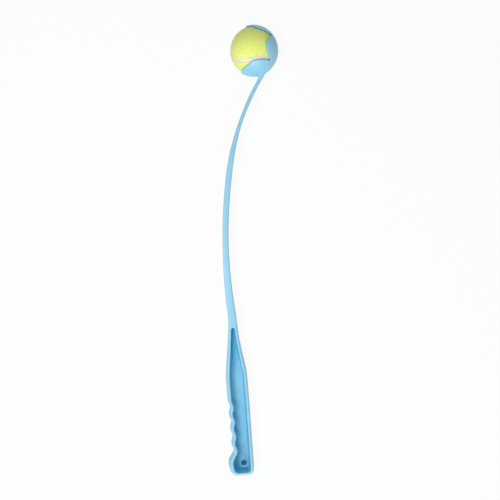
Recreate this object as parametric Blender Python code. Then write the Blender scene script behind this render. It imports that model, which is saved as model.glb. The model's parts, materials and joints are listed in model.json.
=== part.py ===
"""Dog ball thrower: one moulding with a claw cup, a bowed wand and a hollow handle, and a tennis ball.

Metres, +Z up. The thrower lies on its side with the handle's open side up and its head towards +Y.
It is drawn in a frame of its own, with the ball's centre at the origin, the mould's parting plane in XY
and the handle below the ball towards -Y. An empty then lays it down on the ball and the handle's butt.
"""

import math

import bmesh
import bpy
from mathutils import Euler, Matrix, Vector

MM = 0.001

# Ball: a rubber core of two half shells, two felt panels and the seam between them
BALL_RADIUS = 33.0 * MM
FELT_THICKNESS = 2.7 * MM
CORE_WALL = 3.4 * MM
SEAM_WIDTH = 4.6 * MM
SEAM_SINK = 0.4 * MM
FELT_PRESS = 0.5 * MM
FIT_GAP = 0.3 * MM
SEAM_WAVE_SHARE = 0.22
BALL_TURN_DEG = (-131.0, 45.0, 62.0)
SEAM_STEPS = 96
PANEL_ROWS = 44
PANEL_COLUMNS = 10
CORE_STEPS = 32

# Cup: four petals round the ball, two long jaws and two short side petals
CUP_WALL = 1.8 * MM
CUP_CLEARANCE = 0.4 * MM
CUP_BACK_DEG = -5.4
NOTCH_FOOT_DEG = 47.5
SIDE_PETAL_TIP_DEG = 59.8
JAW_SHOULDER_DEG = 85.0
JAW_TIP_DEG = 115.6
LOWER_JAW_HALF_DEG = 51.0
UPPER_JAW_HALF_DEG = 41.0
JAW_BULGE_DEG = 2.0
BASE_RINGS = 6
JAW_ROWS = 9
JAW_COLUMNS = 12
SIDE_ROWS = 2
SIDE_COLUMNS = 10

# Wand: a bowed bar from the cup to the handle
ROOT_PLACE_DEG = -67.8
ROOT_HEADING_DEG = 28.8
ROOT_STRAIGHT = 15.3 * MM
ROOT_FLARE = 2.6 * MM
ROOT_FLARE_LENGTH = 12.0 * MM
ROOT_STEP = 2.4 * MM
ROOT_BURY = 9.0 * MM
UPPER_BEND_RADIUS = 344.0 * MM
UPPER_BEND_DEG = 21.5
LOWER_BEND_RADIUS = 729.0 * MM
LOWER_BEND_DEG = 16.2
NECK_BEND_RADIUS = 100.0 * MM
WAND_TOP_WIDTH = 5.25 * MM
WAND_MID_WIDTH = 8.6 * MM
WAND_LOW_WIDTH = 11.8 * MM
WAND_TOP_DEPTH = 8.0 * MM
WAND_LOW_DEPTH = 11.0 * MM
WAND_EDGE = 1.2 * MM
WAND_STEP = 9.0 * MM

# Handle: a deep channel, open towards +Z, with finger grooves on its -X side
HANDLE_LENGTH = 220.5 * MM
HANDLE_CANT_DEG = 5.0
HANDLE_DEPTH = 25.0 * MM
NECK_LENGTH = 88.0 * MM
FINGER_SIDE_HALF = 16.6 * MM
PALM_SIDE_HALF = 14.1 * MM
PALM_TAPER = 1.4 * MM
GROOVE_COUNT = 4
GROOVE_PITCH = 20.4 * MM
GROOVE_DEPTH = 2.3 * MM
FIRST_GROOVE = 123.6 * MM
POMMEL_HALF = 23.0 * MM
POMMEL_RISE = 17.5 * MM
POMMEL_CORNER_LENGTH = 17.5 * MM
POMMEL_CORNER_WIDTH = 13.0 * MM
PALM_CORNER_LENGTH = 11.5 * MM
PALM_CORNER_WIDTH = 9.5 * MM
BUTT_ROUND = 3.0 * MM
FINGER_RIM_INSET = 3.0 * MM
POMMEL_RIM_INSET = 4.4 * MM
PALM_RIM_INSET = 2.0 * MM
BACK_INSET = 3.0 * MM
RIM_WALL = 3.1 * MM
BUTT_WALL = 4.6 * MM
FLOOR_WALL = 3.0 * MM
CAVITY_TIP = 12.5 * MM
CAVITY_TIP_ROUND = 3.0 * MM
CAVITY_CORNER = 4.0 * MM
CAVITY_FLOOR_ROUND = 5.0 * MM
CAVITY_FLOOR_TUCK = 2.5 * MM
CAVITY_DRAFT = 0.5 * MM
HANDLE_STEP = 10.0 * MM
GROOVE_STEP = 2.5 * MM

# Hanging hole through the handle's back, near the butt
HANG_HOLE_RADIUS = 3.6 * MM
HANG_HOLE_FROM_END = 6.4 * MM
HANG_HOLE_OFFSET = -1.5 * MM

CUT_OVERRUN = 2.0 * MM
CUTTER_STEPS = 48
HOLE_STEPS = 24
END_STATIONS = 6

# Growth from the wand's end to the full handle: (share of the neck's length, share of the growth)
FINGER_NECK_SHARES = [
    (0.0, 0.0), (0.11, 0.05), (0.25, 0.19), (0.51, 0.505), (0.76, 0.82), (0.90, 0.96), (1.0, 1.0),
]
PALM_NECK_SHARES = [
    (0.0, 0.0), (0.16, 0.06), (0.34, 0.21), (0.50, 0.41), (0.73, 0.77), (0.86, 0.95), (1.0, 1.0),
]
DEPTH_NECK_SHARES = [(0.0, 0.0), (0.14, 0.10), (0.45, 0.56), (0.70, 0.93), (0.86, 1.0), (1.0, 1.0)]
# Stretches of the wand where it widens, as shares of its length
MIDDLE_GROWTH_SHARES = (0.18, 0.44)
LOW_GROWTH_SHARES = (0.66, 1.06)
# Half of a section's side, from the parting line out: (share of the inset, share of the half depth)
RIM_CURVE_SHARES = [(1.0, 1.0), (0.40, 0.86), (0.10, 0.60), (0.0, 0.0)]
BACK_CURVE_SHARES = [(0.10, 0.45), (0.38, 0.80), (1.0, 1.0)]
# Rounded floor corner of the cavity: (share of the tuck inwards, share of the round upwards)
FLOOR_CORNER_SHARES = [(0.0, 1.0), (0.30, 0.30), (1.0, 0.0)]
# Half width of a jaw between its foot and its shoulder: (share of the way, share of the bulge)
JAW_EDGE_SHARES = [(0.0, 0.0), (0.2, 0.7), (0.45, 1.0), (0.75, 1.0), (1.0, 0.5)]
TIP_STATION_SHARES = (0.05, 0.3, 0.6)
BUTT_END_SHARE = 0.55
CUTTER_WALL_SHARE = 0.5
CORNER_POWER = 2.4


def smooth_value(points, at):
    """A smooth curve through (place, value) points, read at one place."""
    if at <= points[0][0]:
        return points[0][1]
    if at >= points[-1][0]:
        return points[-1][1]
    index = max(i for i in range(len(points) - 1) if points[i][0] <= at)

    def slope(i):
        before = points[max(i - 1, 0)]
        after = points[min(i + 1, len(points) - 1)]
        return (after[1] - before[1]) / (after[0] - before[0])

    (start, low), (end, high) = points[index], points[index + 1]
    span = end - start
    t = (at - start) / span
    if high == low:
        return low
    return (
        (2 * t**3 - 3 * t**2 + 1) * low
        + (t**3 - 2 * t**2 + t) * span * slope(index)
        + (3 * t**2 - 2 * t**3) * high
        + (t**3 - t**2) * span * slope(index + 1)
    )


def ease(t):
    """Soft step from 0 to 1."""
    t = min(max(t, 0.0), 1.0)
    return t * t * (3 - 2 * t)


def grown_between(stretch, share):
    start, end = stretch
    return ease((share - start) / (end - start)) / ease((1 - start) / (end - start))


def corner_drop(t, power=2.0):
    """How far a rounded corner has come in, as a share, a share t of the way along it."""
    t = min(max(t, 0.0), 1.0)
    return 1 - (1 - t**power) ** (1 / power)


def material(name, color, roughness, specular=0.5):
    made = bpy.data.materials.new(name)
    made.use_nodes = True
    shader = made.node_tree.nodes["Principled BSDF"]
    shader.inputs["Base Color"].default_value = (*color, 1.0)
    shader.inputs["Roughness"].default_value = roughness
    shader.inputs["Metallic"].default_value = 0.0
    shader.inputs["Specular IOR Level"].default_value = specular
    made.diffuse_color = (*color, 1.0)
    return made


def mesh_object(name, points, faces, finish, parent, smooth_deg=35.0):
    """One closed body from points and faces, its faces turned outwards."""
    mesh = bpy.data.meshes.new(name)
    mesh.from_pydata([tuple(p) for p in points], [], faces)
    shaped = bmesh.new()
    shaped.from_mesh(mesh)
    bmesh.ops.recalc_face_normals(shaped, faces=shaped.faces)
    shaped.to_mesh(mesh)
    shaped.free()
    mesh.shade_smooth()
    mesh.set_sharp_from_angle(angle=math.radians(smooth_deg))
    made = bpy.data.objects.new(name, mesh)
    bpy.context.scene.collection.objects.link(made)
    made.parent = parent
    if finish:
        mesh.materials.append(finish)
    return made


def as_guide(made):
    """A shape that only adds to or cuts another one."""
    made.hide_render = True
    made.display_type = "WIRE"
    return made


def boolean(target, tool, operation):
    step = target.modifiers.new(f"{operation.lower()}_{tool.name}", "BOOLEAN")
    step.operation = operation
    step.solver = "EXACT"
    step.object = tool


def strip_faces(rows):
    """Faces between rows of point numbers. A corner that two rows share is named once."""
    faces = []
    for low, high in zip(rows, rows[1:]):
        for i in range(len(low) - 1):
            corners = dict.fromkeys([low[i], high[i], high[i + 1], low[i + 1]])
            if len(corners) > 2:
                faces.append(list(corners))
    return faces


def walled_sheet(name, outer, inner, sheet, finish, parent):
    """A closed wall: one sheet of faces at its outer and at its inner points, joined along the edge."""
    count = len(outer)
    sides = {(a, b) for face in sheet for a, b in zip(face, face[1:] + face[:1])}
    rim = [[a, b, b + count, a + count] for a, b in sorted(sides) if (b, a) not in sides]
    back = [[i + count for i in reversed(face)] for face in sheet]
    return mesh_object(name, outer + inner, sheet + back + rim, finish, parent)


def lofted(name, rings, finish, parent):
    """A closed body through rings of points, with a flat cap at each end."""
    count = len(rings[0])
    points = [p for ring in rings for p in ring]
    faces = [list(range(count)), [len(points) - 1 - i for i in range(count)]]
    for row in range(len(rings) - 1):
        for column in range(count):
            following = (column + 1) % count
            low, high = row * count, (row + 1) * count
            faces.append([low + column, low + following, high + following, high + column])
    return mesh_object(name, points, faces, finish, parent)


# The stick's centre line, from the cup's outside to the butt

def stick_runs():
    """(length, turn per metre) of each run. The heading is measured from -Y towards -X."""
    neck_bend_deg = HANDLE_CANT_DEG + ROOT_HEADING_DEG - UPPER_BEND_DEG - LOWER_BEND_DEG
    neck_turn = math.copysign(1 / NECK_BEND_RADIUS, -neck_bend_deg)
    return [
        (ROOT_STRAIGHT, 0.0),
        (UPPER_BEND_RADIUS * math.radians(UPPER_BEND_DEG), -1 / UPPER_BEND_RADIUS),
        (LOWER_BEND_RADIUS * math.radians(LOWER_BEND_DEG), -1 / LOWER_BEND_RADIUS),
        (NECK_BEND_RADIUS * abs(math.radians(neck_bend_deg)), neck_turn),
        (HANDLE_LENGTH, 0.0),
    ]


WAND_LENGTH = sum(length for length, _ in stick_runs()[:-1])
CUP_INNER_RADIUS = BALL_RADIUS + CUP_CLEARANCE
CUP_OUTER_RADIUS = CUP_INNER_RADIUS + CUP_WALL


def stick_place(distance):
    """Centre and palm-side direction of the stick, a distance down from the cup's outside."""
    root = math.radians(ROOT_PLACE_DEG)
    centre = Vector((math.cos(root), math.sin(root), 0)) * CUP_OUTER_RADIUS
    heading = math.radians(ROOT_HEADING_DEG)
    left = distance
    for length, turn in stick_runs():
        run = left if left < length else length
        middle = heading + turn * run / 2
        chord = 2 * math.sin(turn * run / 2) / turn if turn else run
        centre += Vector((-math.sin(middle), -math.cos(middle), 0)) * chord
        heading += turn * run
        left -= run
        if left <= 0:
            break
    return centre, Vector((math.cos(heading), -math.sin(heading), 0))


def on_handle(down, across, height):
    """A point of the handle: its distance down from the wand's end, across to the palm side, and up."""
    centre, palm = stick_place(WAND_LENGTH + down)
    return centre + palm * across + Vector((0, 0, height))


# The stick's half widths and depths

def wand_half_width(distance):
    share = distance / WAND_LENGTH
    width = WAND_TOP_WIDTH
    width += (WAND_MID_WIDTH - WAND_TOP_WIDTH) * grown_between(MIDDLE_GROWTH_SHARES, share)
    width += (WAND_LOW_WIDTH - WAND_MID_WIDTH) * grown_between(LOW_GROWTH_SHARES, share)
    return width / 2


def root_flare(distance):
    return ROOT_FLARE * (1 - ease(distance / ROOT_FLARE_LENGTH))


def groove(down):
    """Depth of the finger grooves, each a wave of one pitch."""
    start = FIRST_GROOVE - GROOVE_PITCH / 2
    turns = (down - start) / GROOVE_PITCH
    if turns < 0 or turns > GROOVE_COUNT:
        return 0.0
    return GROOVE_DEPTH * (1 - math.cos(2 * math.pi * turns)) / 2


def finger_half(down):
    """Half width on the finger side: neck, grip, grooves, pommel and rounded butt."""
    grown = smooth_value(FINGER_NECK_SHARES, down / NECK_LENGTH)
    half = WAND_LOW_WIDTH / 2 + grown * (FINGER_SIDE_HALF - WAND_LOW_WIDTH / 2)
    last_groove = FIRST_GROOVE + (GROOVE_COUNT - 1) * GROOVE_PITCH
    if down > last_groove:
        valley = FINGER_SIDE_HALF - GROOVE_DEPTH
        half = valley + (POMMEL_HALF - valley) * ease((down - last_groove) / POMMEL_RISE)
    else:
        half -= groove(down)
    along = (down - HANDLE_LENGTH + POMMEL_CORNER_LENGTH) / POMMEL_CORNER_LENGTH
    return half - POMMEL_CORNER_WIDTH * corner_drop(along, CORNER_POWER)


def palm_half(down):
    grown = smooth_value(PALM_NECK_SHARES, down / NECK_LENGTH)
    half = WAND_LOW_WIDTH / 2 + grown * (PALM_SIDE_HALF - WAND_LOW_WIDTH / 2)
    half -= PALM_TAPER * ease((down - NECK_LENGTH) / (HANDLE_LENGTH - NECK_LENGTH))
    along = (down - HANDLE_LENGTH + PALM_CORNER_LENGTH) / PALM_CORNER_LENGTH
    return half - PALM_CORNER_WIDTH * corner_drop(along, CORNER_POWER)


def handle_half_depth(down):
    grown = smooth_value(DEPTH_NECK_SHARES, down / NECK_LENGTH)
    half = WAND_LOW_DEPTH / 2 + grown * (HANDLE_DEPTH - WAND_LOW_DEPTH) / 2
    rounded = corner_drop((down - HANDLE_LENGTH + BUTT_ROUND) / BUTT_ROUND)
    return half * (1 - (1 - BUTT_END_SHARE) * rounded)


def finger_rim_inset(down):
    grown = smooth_value(DEPTH_NECK_SHARES, down / NECK_LENGTH)
    inset = WAND_EDGE + grown * (FINGER_RIM_INSET - WAND_EDGE)
    last_groove = FIRST_GROOVE + (GROOVE_COUNT - 1) * GROOVE_PITCH
    return inset + (POMMEL_RIM_INSET - FINGER_RIM_INSET) * ease((down - last_groove) / POMMEL_RISE)


def palm_rim_inset(down):
    grown = smooth_value(DEPTH_NECK_SHARES, down / NECK_LENGTH)
    return WAND_EDGE + grown * (PALM_RIM_INSET - WAND_EDGE)


def back_inset(down):
    grown = smooth_value(DEPTH_NECK_SHARES, down / NECK_LENGTH)
    return WAND_EDGE + grown * (BACK_INSET - WAND_EDGE)


def stick_section(finger, palm, half_depth, finger_rim, palm_rim, back):
    """(across, height) points of one section, from the palm side's rim round to the finger side's."""
    palm_side = [(palm - a * palm_rim, b * half_depth) for a, b in RIM_CURVE_SHARES]
    palm_side += [(palm - a * back, -b * half_depth) for a, b in BACK_CURVE_SHARES]
    finger_side = [(a * finger_rim - finger, b * half_depth) for a, b in RIM_CURVE_SHARES]
    finger_side += [(a * back - finger, -b * half_depth) for a, b in BACK_CURVE_SHARES]
    return palm_side + finger_side[::-1]


def wand_section(distance):
    half = wand_half_width(distance)
    flare = root_flare(distance)
    depth = WAND_TOP_DEPTH + flare + (WAND_LOW_DEPTH - WAND_TOP_DEPTH) * distance / WAND_LENGTH
    return stick_section(half + flare, half, depth / 2, WAND_EDGE, WAND_EDGE, WAND_EDGE)


def handle_section(down):
    return stick_section(
        finger_half(down),
        palm_half(down),
        handle_half_depth(down),
        finger_rim_inset(down),
        palm_rim_inset(down),
        back_inset(down),
    )


def spread(start, end, step):
    """Evenly spaced places from start up to, but not at, end, about a step apart."""
    count = max(round((end - start) / step), 1)
    return [start + (end - start) * i / count for i in range(count)]


def rounded_end(start, end, count):
    """Places that crowd towards the end, for a rounded corner."""
    return [start + (end - start) * math.sin(math.pi / 2 * i / count) for i in range(count + 1)]


def handle_stations(start, end, corner, shift):
    """Places down the handle: wide apart on the neck, close over the grooves and the rounded end."""
    grooves = FIRST_GROOVE - GROOVE_PITCH / 2 - shift
    places = spread(start, grooves, HANDLE_STEP)
    places += spread(grooves, end - corner, GROOVE_STEP)
    return places + rounded_end(end - corner, end, END_STATIONS)


def ring_at(distance, section):
    centre, palm = stick_place(distance)
    return [centre + palm * across + Vector((0, 0, height)) for across, height in section]


def make_stick(parent):
    """Wand and handle, without the cup: one loft, its top end buried in the cup's wall."""
    root, palm = stick_place(0.0)
    upwards = Vector((-palm.y, palm.x, 0))
    buried = [root + upwards * ROOT_BURY + palm * a + Vector((0, 0, h)) for a, h in wand_section(0.0)]
    rings = [buried]
    rings += [ring_at(d, wand_section(d)) for d in spread(0.0, ROOT_FLARE_LENGTH, ROOT_STEP)]
    rings += [ring_at(d, wand_section(d)) for d in spread(ROOT_FLARE_LENGTH, WAND_LENGTH, WAND_STEP)]
    downs = handle_stations(0.0, HANDLE_LENGTH, BUTT_ROUND, 0.0)
    rings += [ring_at(WAND_LENGTH + d, handle_section(d)) for d in downs]
    stick = as_guide(lofted("stick", rings, None, parent))
    inner_ball = make_ball_space(parent)
    boolean(stick, inner_ball, "DIFFERENCE")
    return stick


def make_ball_space(parent):
    """Clears the wand's buried end out of the cup, to the middle of the cup's wall."""
    shaped = bmesh.new()
    radius = CUP_INNER_RADIUS + CUP_WALL * CUTTER_WALL_SHARE
    bmesh.ops.create_uvsphere(shaped, u_segments=CUTTER_STEPS, v_segments=CUTTER_STEPS // 2, radius=radius)
    mesh = bpy.data.meshes.new("ball_space")
    shaped.to_mesh(mesh)
    shaped.free()
    made = bpy.data.objects.new("ball_space", mesh)
    bpy.context.scene.collection.objects.link(made)
    made.parent = parent
    return as_guide(made)


# The handle's cavity and hole

def cavity_end():
    return HANDLE_LENGTH - BUTT_WALL


def cavity_section(down):
    """(across, height) points of the cavity, from above the rim down to the floor and up again."""
    tip = 1 - corner_drop((CAVITY_TIP + CAVITY_TIP_ROUND - down) / CAVITY_TIP_ROUND)
    corner = CAVITY_CORNER * corner_drop((down - cavity_end() + CAVITY_CORNER) / CAVITY_CORNER)
    finger = (finger_half(down) - finger_rim_inset(down) - RIM_WALL) * tip - corner
    palm = (palm_half(down) - palm_rim_inset(down) - RIM_WALL) * tip - corner
    rim = handle_half_depth(down)
    floor = FLOOR_WALL - rim
    fit = min(1.0, finger / CAVITY_FLOOR_ROUND, palm / CAVITY_FLOOR_ROUND)
    draft = CAVITY_DRAFT * fit
    corner_points = [
        (draft + a * CAVITY_FLOOR_TUCK * fit, floor + b * CAVITY_FLOOR_ROUND * fit)
        for a, b in FLOOR_CORNER_SHARES
    ]
    profile = [(-draft, rim + CUT_OVERRUN)] + corner_points
    return [(palm - a, h) for a, h in profile] + [(a - finger, h) for a, h in reversed(profile)]


def make_cavity(parent):
    tip_end = CAVITY_TIP + CAVITY_TIP_ROUND
    tip = [CAVITY_TIP + CAVITY_TIP_ROUND * s for s in TIP_STATION_SHARES]
    downs = tip + handle_stations(tip_end, cavity_end(), CAVITY_CORNER, GROOVE_STEP / 2)
    rings = [ring_at(WAND_LENGTH + d, cavity_section(d)) for d in downs]
    return as_guide(lofted("cavity", rings, None, parent))


def make_hang_hole(parent):
    down = cavity_end() - HANG_HOLE_FROM_END
    half = HANDLE_DEPTH / 2
    rings = []
    for height in (-half - CUT_OVERRUN, FLOOR_WALL + CAVITY_FLOOR_ROUND - half):
        turns = [2 * math.pi * i / HOLE_STEPS for i in range(HOLE_STEPS)]
        centre = on_handle(down, HANG_HOLE_OFFSET, height)
        rings.append([centre + Vector((math.cos(t), math.sin(t), 0)) * HANG_HOLE_RADIUS for t in turns])
    return as_guide(lofted("hang_hole", rings, None, parent))


# The cup

def cup_direction(polar_deg, around_deg):
    """Unit vector: polar angle from the cup's back, and angle around it from the lower jaw's middle."""
    back_angle = math.radians(CUP_BACK_DEG)
    back = Vector((math.cos(back_angle), math.sin(back_angle), 0))
    jaw = Vector((math.sin(back_angle), -math.cos(back_angle), 0))
    polar, around = math.radians(polar_deg), math.radians(around_deg)
    sideways = jaw * math.cos(around) + Vector((0, 0, math.sin(around)))
    return back * math.cos(polar) + sideways * math.sin(polar)


def cup_petals():
    """(middle, half width at the foot, whether it is a jaw) of each petal, once round the cup."""
    side_half = (180.0 - LOWER_JAW_HALF_DEG - UPPER_JAW_HALF_DEG) / 2
    side_middle = LOWER_JAW_HALF_DEG + side_half
    return [
        (0.0, LOWER_JAW_HALF_DEG, True),
        (side_middle, side_half, False),
        (180.0, UPPER_JAW_HALF_DEG, True),
        (360.0 - side_middle, side_half, False),
    ]


def petal_rows(middle, half, is_jaw, foot, directions):
    """Rows of a petal's points, from its foot on the bowl's edge to its tip. New points join directions."""
    columns = len(foot) - 1
    rows = [foot]
    count = JAW_ROWS if is_jaw else SIDE_ROWS
    for row in range(1, count + 1):
        way = row / count
        above = []
        for column in range(columns + 1):
            place = 2 * column / columns - 1
            if is_jaw:
                edge = JAW_SHOULDER_DEG + (JAW_TIP_DEG - JAW_SHOULDER_DEG) * (1 - place**2)
                around = middle + place * (half + JAW_BULGE_DEG * smooth_value(JAW_EDGE_SHARES, way))
            else:
                edge = SIDE_PETAL_TIP_DEG - (SIDE_PETAL_TIP_DEG - NOTCH_FOOT_DEG) * ease(abs(place))
                around = middle + place * half
            if not is_jaw and abs(place) == 1:
                above.append(foot[column])
                continue
            above.append(len(directions))
            directions.append(cup_direction(NOTCH_FOOT_DEG + way * (edge - NOTCH_FOOT_DEG), around))
        rows.append(above)
    return rows


def cup_sheet():
    """Directions and faces of the cup as a sheet: a bowl, and on its edge two jaws and two side petals."""
    arounds = []
    for middle, half, is_jaw in cup_petals():
        count = JAW_COLUMNS if is_jaw else SIDE_COLUMNS
        arounds += [middle - half + 2 * half * i / count for i in range(count)]
    total = len(arounds)
    directions = [cup_direction(0.0, 0.0)]
    rows = []
    for ring in range(1, BASE_RINGS + 1):
        rows.append([len(directions) + i % total for i in range(total + 1)])
        directions += [cup_direction(NOTCH_FOOT_DEG * ring / BASE_RINGS, around) for around in arounds]
    faces = [[0, a, b] for a, b in zip(rows[0], rows[0][1:])]
    faces += strip_faces(rows)
    first = 0
    for middle, half, is_jaw in cup_petals():
        count = JAW_COLUMNS if is_jaw else SIDE_COLUMNS
        foot = rows[-1][first:first + count + 1]
        faces += strip_faces(petal_rows(middle, half, is_jaw, foot, directions))
        first += count
    return directions, faces


def make_cup(finish, parent):
    """The cup's wall: its sheet at the outer and the inner radius, joined along its edge."""
    directions, faces = cup_sheet()
    outer = [d * CUP_OUTER_RADIUS for d in directions]
    inner = [d * CUP_INNER_RADIUS for d in directions]
    return walled_sheet("thrower", outer, inner, faces, finish, parent)


# The ball

def seam_point(turn):
    """The seam's closed curve on a unit ball."""
    wave = SEAM_WAVE_SHARE
    steady = 1 - wave
    return Vector((
        steady * math.cos(turn) + wave * math.cos(3 * turn),
        steady * math.sin(turn) - wave * math.sin(3 * turn),
        2 * math.sqrt(steady * wave) * math.sin(2 * turn),
    ))


def seam_along(turn):
    """The seam's direction of travel."""
    wave = SEAM_WAVE_SHARE
    steady = 1 - wave
    return Vector((
        -steady * math.sin(turn) - 3 * wave * math.sin(3 * turn),
        steady * math.cos(turn) - 3 * wave * math.cos(3 * turn),
        4 * math.sqrt(steady * wave) * math.cos(2 * turn),
    )).normalized()


def beside_seam(turn, reach):
    """Unit vector beside the seam, a reach away on the ball, towards the first panel if positive."""
    towards_panel = seam_point(turn).cross(seam_along(turn)).normalized()
    angle = reach / BALL_RADIUS
    return seam_point(turn) * math.cos(angle) + towards_panel * math.sin(angle)


def ball_turn():
    return Euler([math.radians(a) for a in BALL_TURN_DEG]).to_matrix()


def pressed(direction, radius, down):
    """A point on the ball, held back where the nap is flattened against the ground."""
    point = direction * radius
    flat = BALL_RADIUS - FELT_PRESS
    below = point.dot(down) - flat
    return point - down * below if below > 0 else point


def felt_panel(name, half_turn, down, finish, parent):
    """One dog-bone panel of felt. Its rows run between points of its edge that mirror each other."""
    reach = SEAM_WIDTH / 2 + FIT_GAP
    start, end = -math.pi / 4, math.pi * 3 / 4
    turned = ball_turn() @ Matrix.Rotation(half_turn, 3, "X")
    directions = [beside_seam(start, reach)]
    rows = [[0] * (PANEL_COLUMNS + 1)]
    for i in range(1, PANEL_ROWS):
        turn = start + (end - start) * i / PANEL_ROWS
        left, right = beside_seam(turn, reach), beside_seam(start * 2 - turn, reach)
        rows.append([len(directions) + j for j in range(PANEL_COLUMNS + 1)])
        directions += [left.slerp(right, j / PANEL_COLUMNS) for j in range(PANEL_COLUMNS + 1)]
    rows.append([len(directions)] * (PANEL_COLUMNS + 1))
    directions.append(beside_seam(end, reach))
    directions = [turned @ d for d in directions]
    outer = [pressed(d, BALL_RADIUS, down) for d in directions]
    inner = [d * (BALL_RADIUS - FELT_THICKNESS) for d in directions]
    return walled_sheet(name, outer, inner, strip_faces(rows), finish, parent)


def make_seam(down, finish, parent):
    """The rubber cement between the felt panels: a narrow band that runs once round the ball."""
    half = SEAM_WIDTH / 2
    low = BALL_RADIUS - FELT_THICKNESS
    high = BALL_RADIUS - SEAM_SINK
    profile = [(-half, low), (half, low), (half, high), (0.0, high), (-half, high)]
    count = len(profile)
    points = []
    for i in range(SEAM_STEPS):
        turn = 2 * math.pi * i / SEAM_STEPS
        for reach, radius in profile:
            points.append(pressed(ball_turn() @ beside_seam(turn, reach), radius, down))
    rows = [[i % SEAM_STEPS * count + j % count for j in range(count + 1)] for i in range(SEAM_STEPS + 1)]
    return mesh_object("ball_seam", points, strip_faces(rows), finish, parent)


def core_half(name, side, finish, parent):
    """Half of the rubber core: a bowl with its flat rim against the other half's."""
    outer_radius = BALL_RADIUS - FELT_THICKNESS - FIT_GAP
    rings = CORE_STEPS // 4
    bowls = []
    for radius in (outer_radius, outer_radius - CORE_WALL):
        rim = math.asin(FIT_GAP / 2 / radius)
        points = [Vector((0, 0, side * radius))]
        for ring in range(1, rings + 1):
            polar = (math.pi / 2 - rim) * ring / rings
            for i in range(CORE_STEPS):
                turn = 2 * math.pi * i / CORE_STEPS
                width = radius * math.sin(polar)
                height = side * radius * math.cos(polar)
                points.append(Vector((width * math.cos(turn), width * math.sin(turn), height)))
        bowls.append(points)
    rows = [[0] * (CORE_STEPS + 1)]
    rows += [[1 + r * CORE_STEPS + i % CORE_STEPS for i in range(CORE_STEPS + 1)] for r in range(rings)]
    return walled_sheet(name, bowls[0], bowls[1], strip_faces(rows), finish, parent)


# Laying the thrower down

def rest_tilt():
    """Angle that lowers the butt until the handle's back meets the ground that the ball lies on."""
    down = HANDLE_LENGTH - BUTT_ROUND
    contact = on_handle(down, back_inset(down) - finger_half(down), -HANDLE_DEPTH / 2)
    ball_height = BALL_RADIUS - FELT_PRESS
    return math.asin(ball_height / math.hypot(contact.y, contact.z)) - math.atan2(-contact.z, -contact.y)


def lay_down(lay, members):
    """Moves the whole part until its box stands centred over the origin."""
    bpy.context.view_layer.update()
    graph = bpy.context.evaluated_depsgraph_get()
    corners = []
    for member in members:
        seen = member.evaluated_get(graph)
        corners += [seen.matrix_world @ v.co for v in seen.data.vertices]
    low = Vector(min(c[i] for c in corners) for i in range(3))
    high = Vector(max(c[i] for c in corners) for i in range(3))
    lay.location -= Vector(((low.x + high.x) / 2, (low.y + high.y) / 2, low.z))


def main():
    for old in list(bpy.data.objects):
        bpy.data.objects.remove(old, do_unlink=True)
    plastic = material("thrower_plastic", (0.30, 0.62, 0.85), 0.35)
    felt = material("ball_felt", (0.70, 0.83, 0.16), 0.95, 0.1)
    cement = material("ball_seam", (0.82, 0.80, 0.72), 0.7)
    rubber = material("ball_rubber", (0.10, 0.10, 0.10), 0.6)

    tilt = rest_tilt()
    lay = bpy.data.objects.new("laid_on_its_side", None)
    bpy.context.scene.collection.objects.link(lay)
    lay.rotation_euler = (tilt, 0, 0)
    down = Vector((0, -math.sin(tilt), -math.cos(tilt)))

    thrower = make_cup(plastic, lay)
    boolean(thrower, make_stick(lay), "UNION")
    boolean(thrower, make_cavity(lay), "DIFFERENCE")
    boolean(thrower, make_hang_hole(lay), "DIFFERENCE")

    seat = bpy.data.objects.new("ball_in_the_cup", None)
    bpy.context.scene.collection.objects.link(seat)
    seat.parent = lay
    ball = [
        core_half("ball_core_half_a", 1, rubber, seat),
        core_half("ball_core_half_b", -1, rubber, seat),
        felt_panel("ball_felt_panel_a", 0.0, down, felt, seat),
        felt_panel("ball_felt_panel_b", math.pi, down, felt, seat),
        make_seam(down, cement, seat),
    ]
    lay_down(lay, [thrower] + ball)


main()
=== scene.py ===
# %% [markdown]
# A dog ball thrower is a long plastic wand. One end is a claw cup that snaps over a tennis ball, and the
# other end is a handle shaped for four fingers. The imported model already has the right size and joints.
# This lesson dresses it: each plain solid gets a finer piece in the same place, and each piece a finish.
# Loading the frame comes first, because the ball's place, the thrower's tilt and its box are read from it.

# %% Load the imported frame
import json
import math
import random

import bmesh
import bpy
from mathutils import Euler, Matrix, Vector, kdtree, noise
from mathutils.bvhtree import BVHTree


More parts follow.
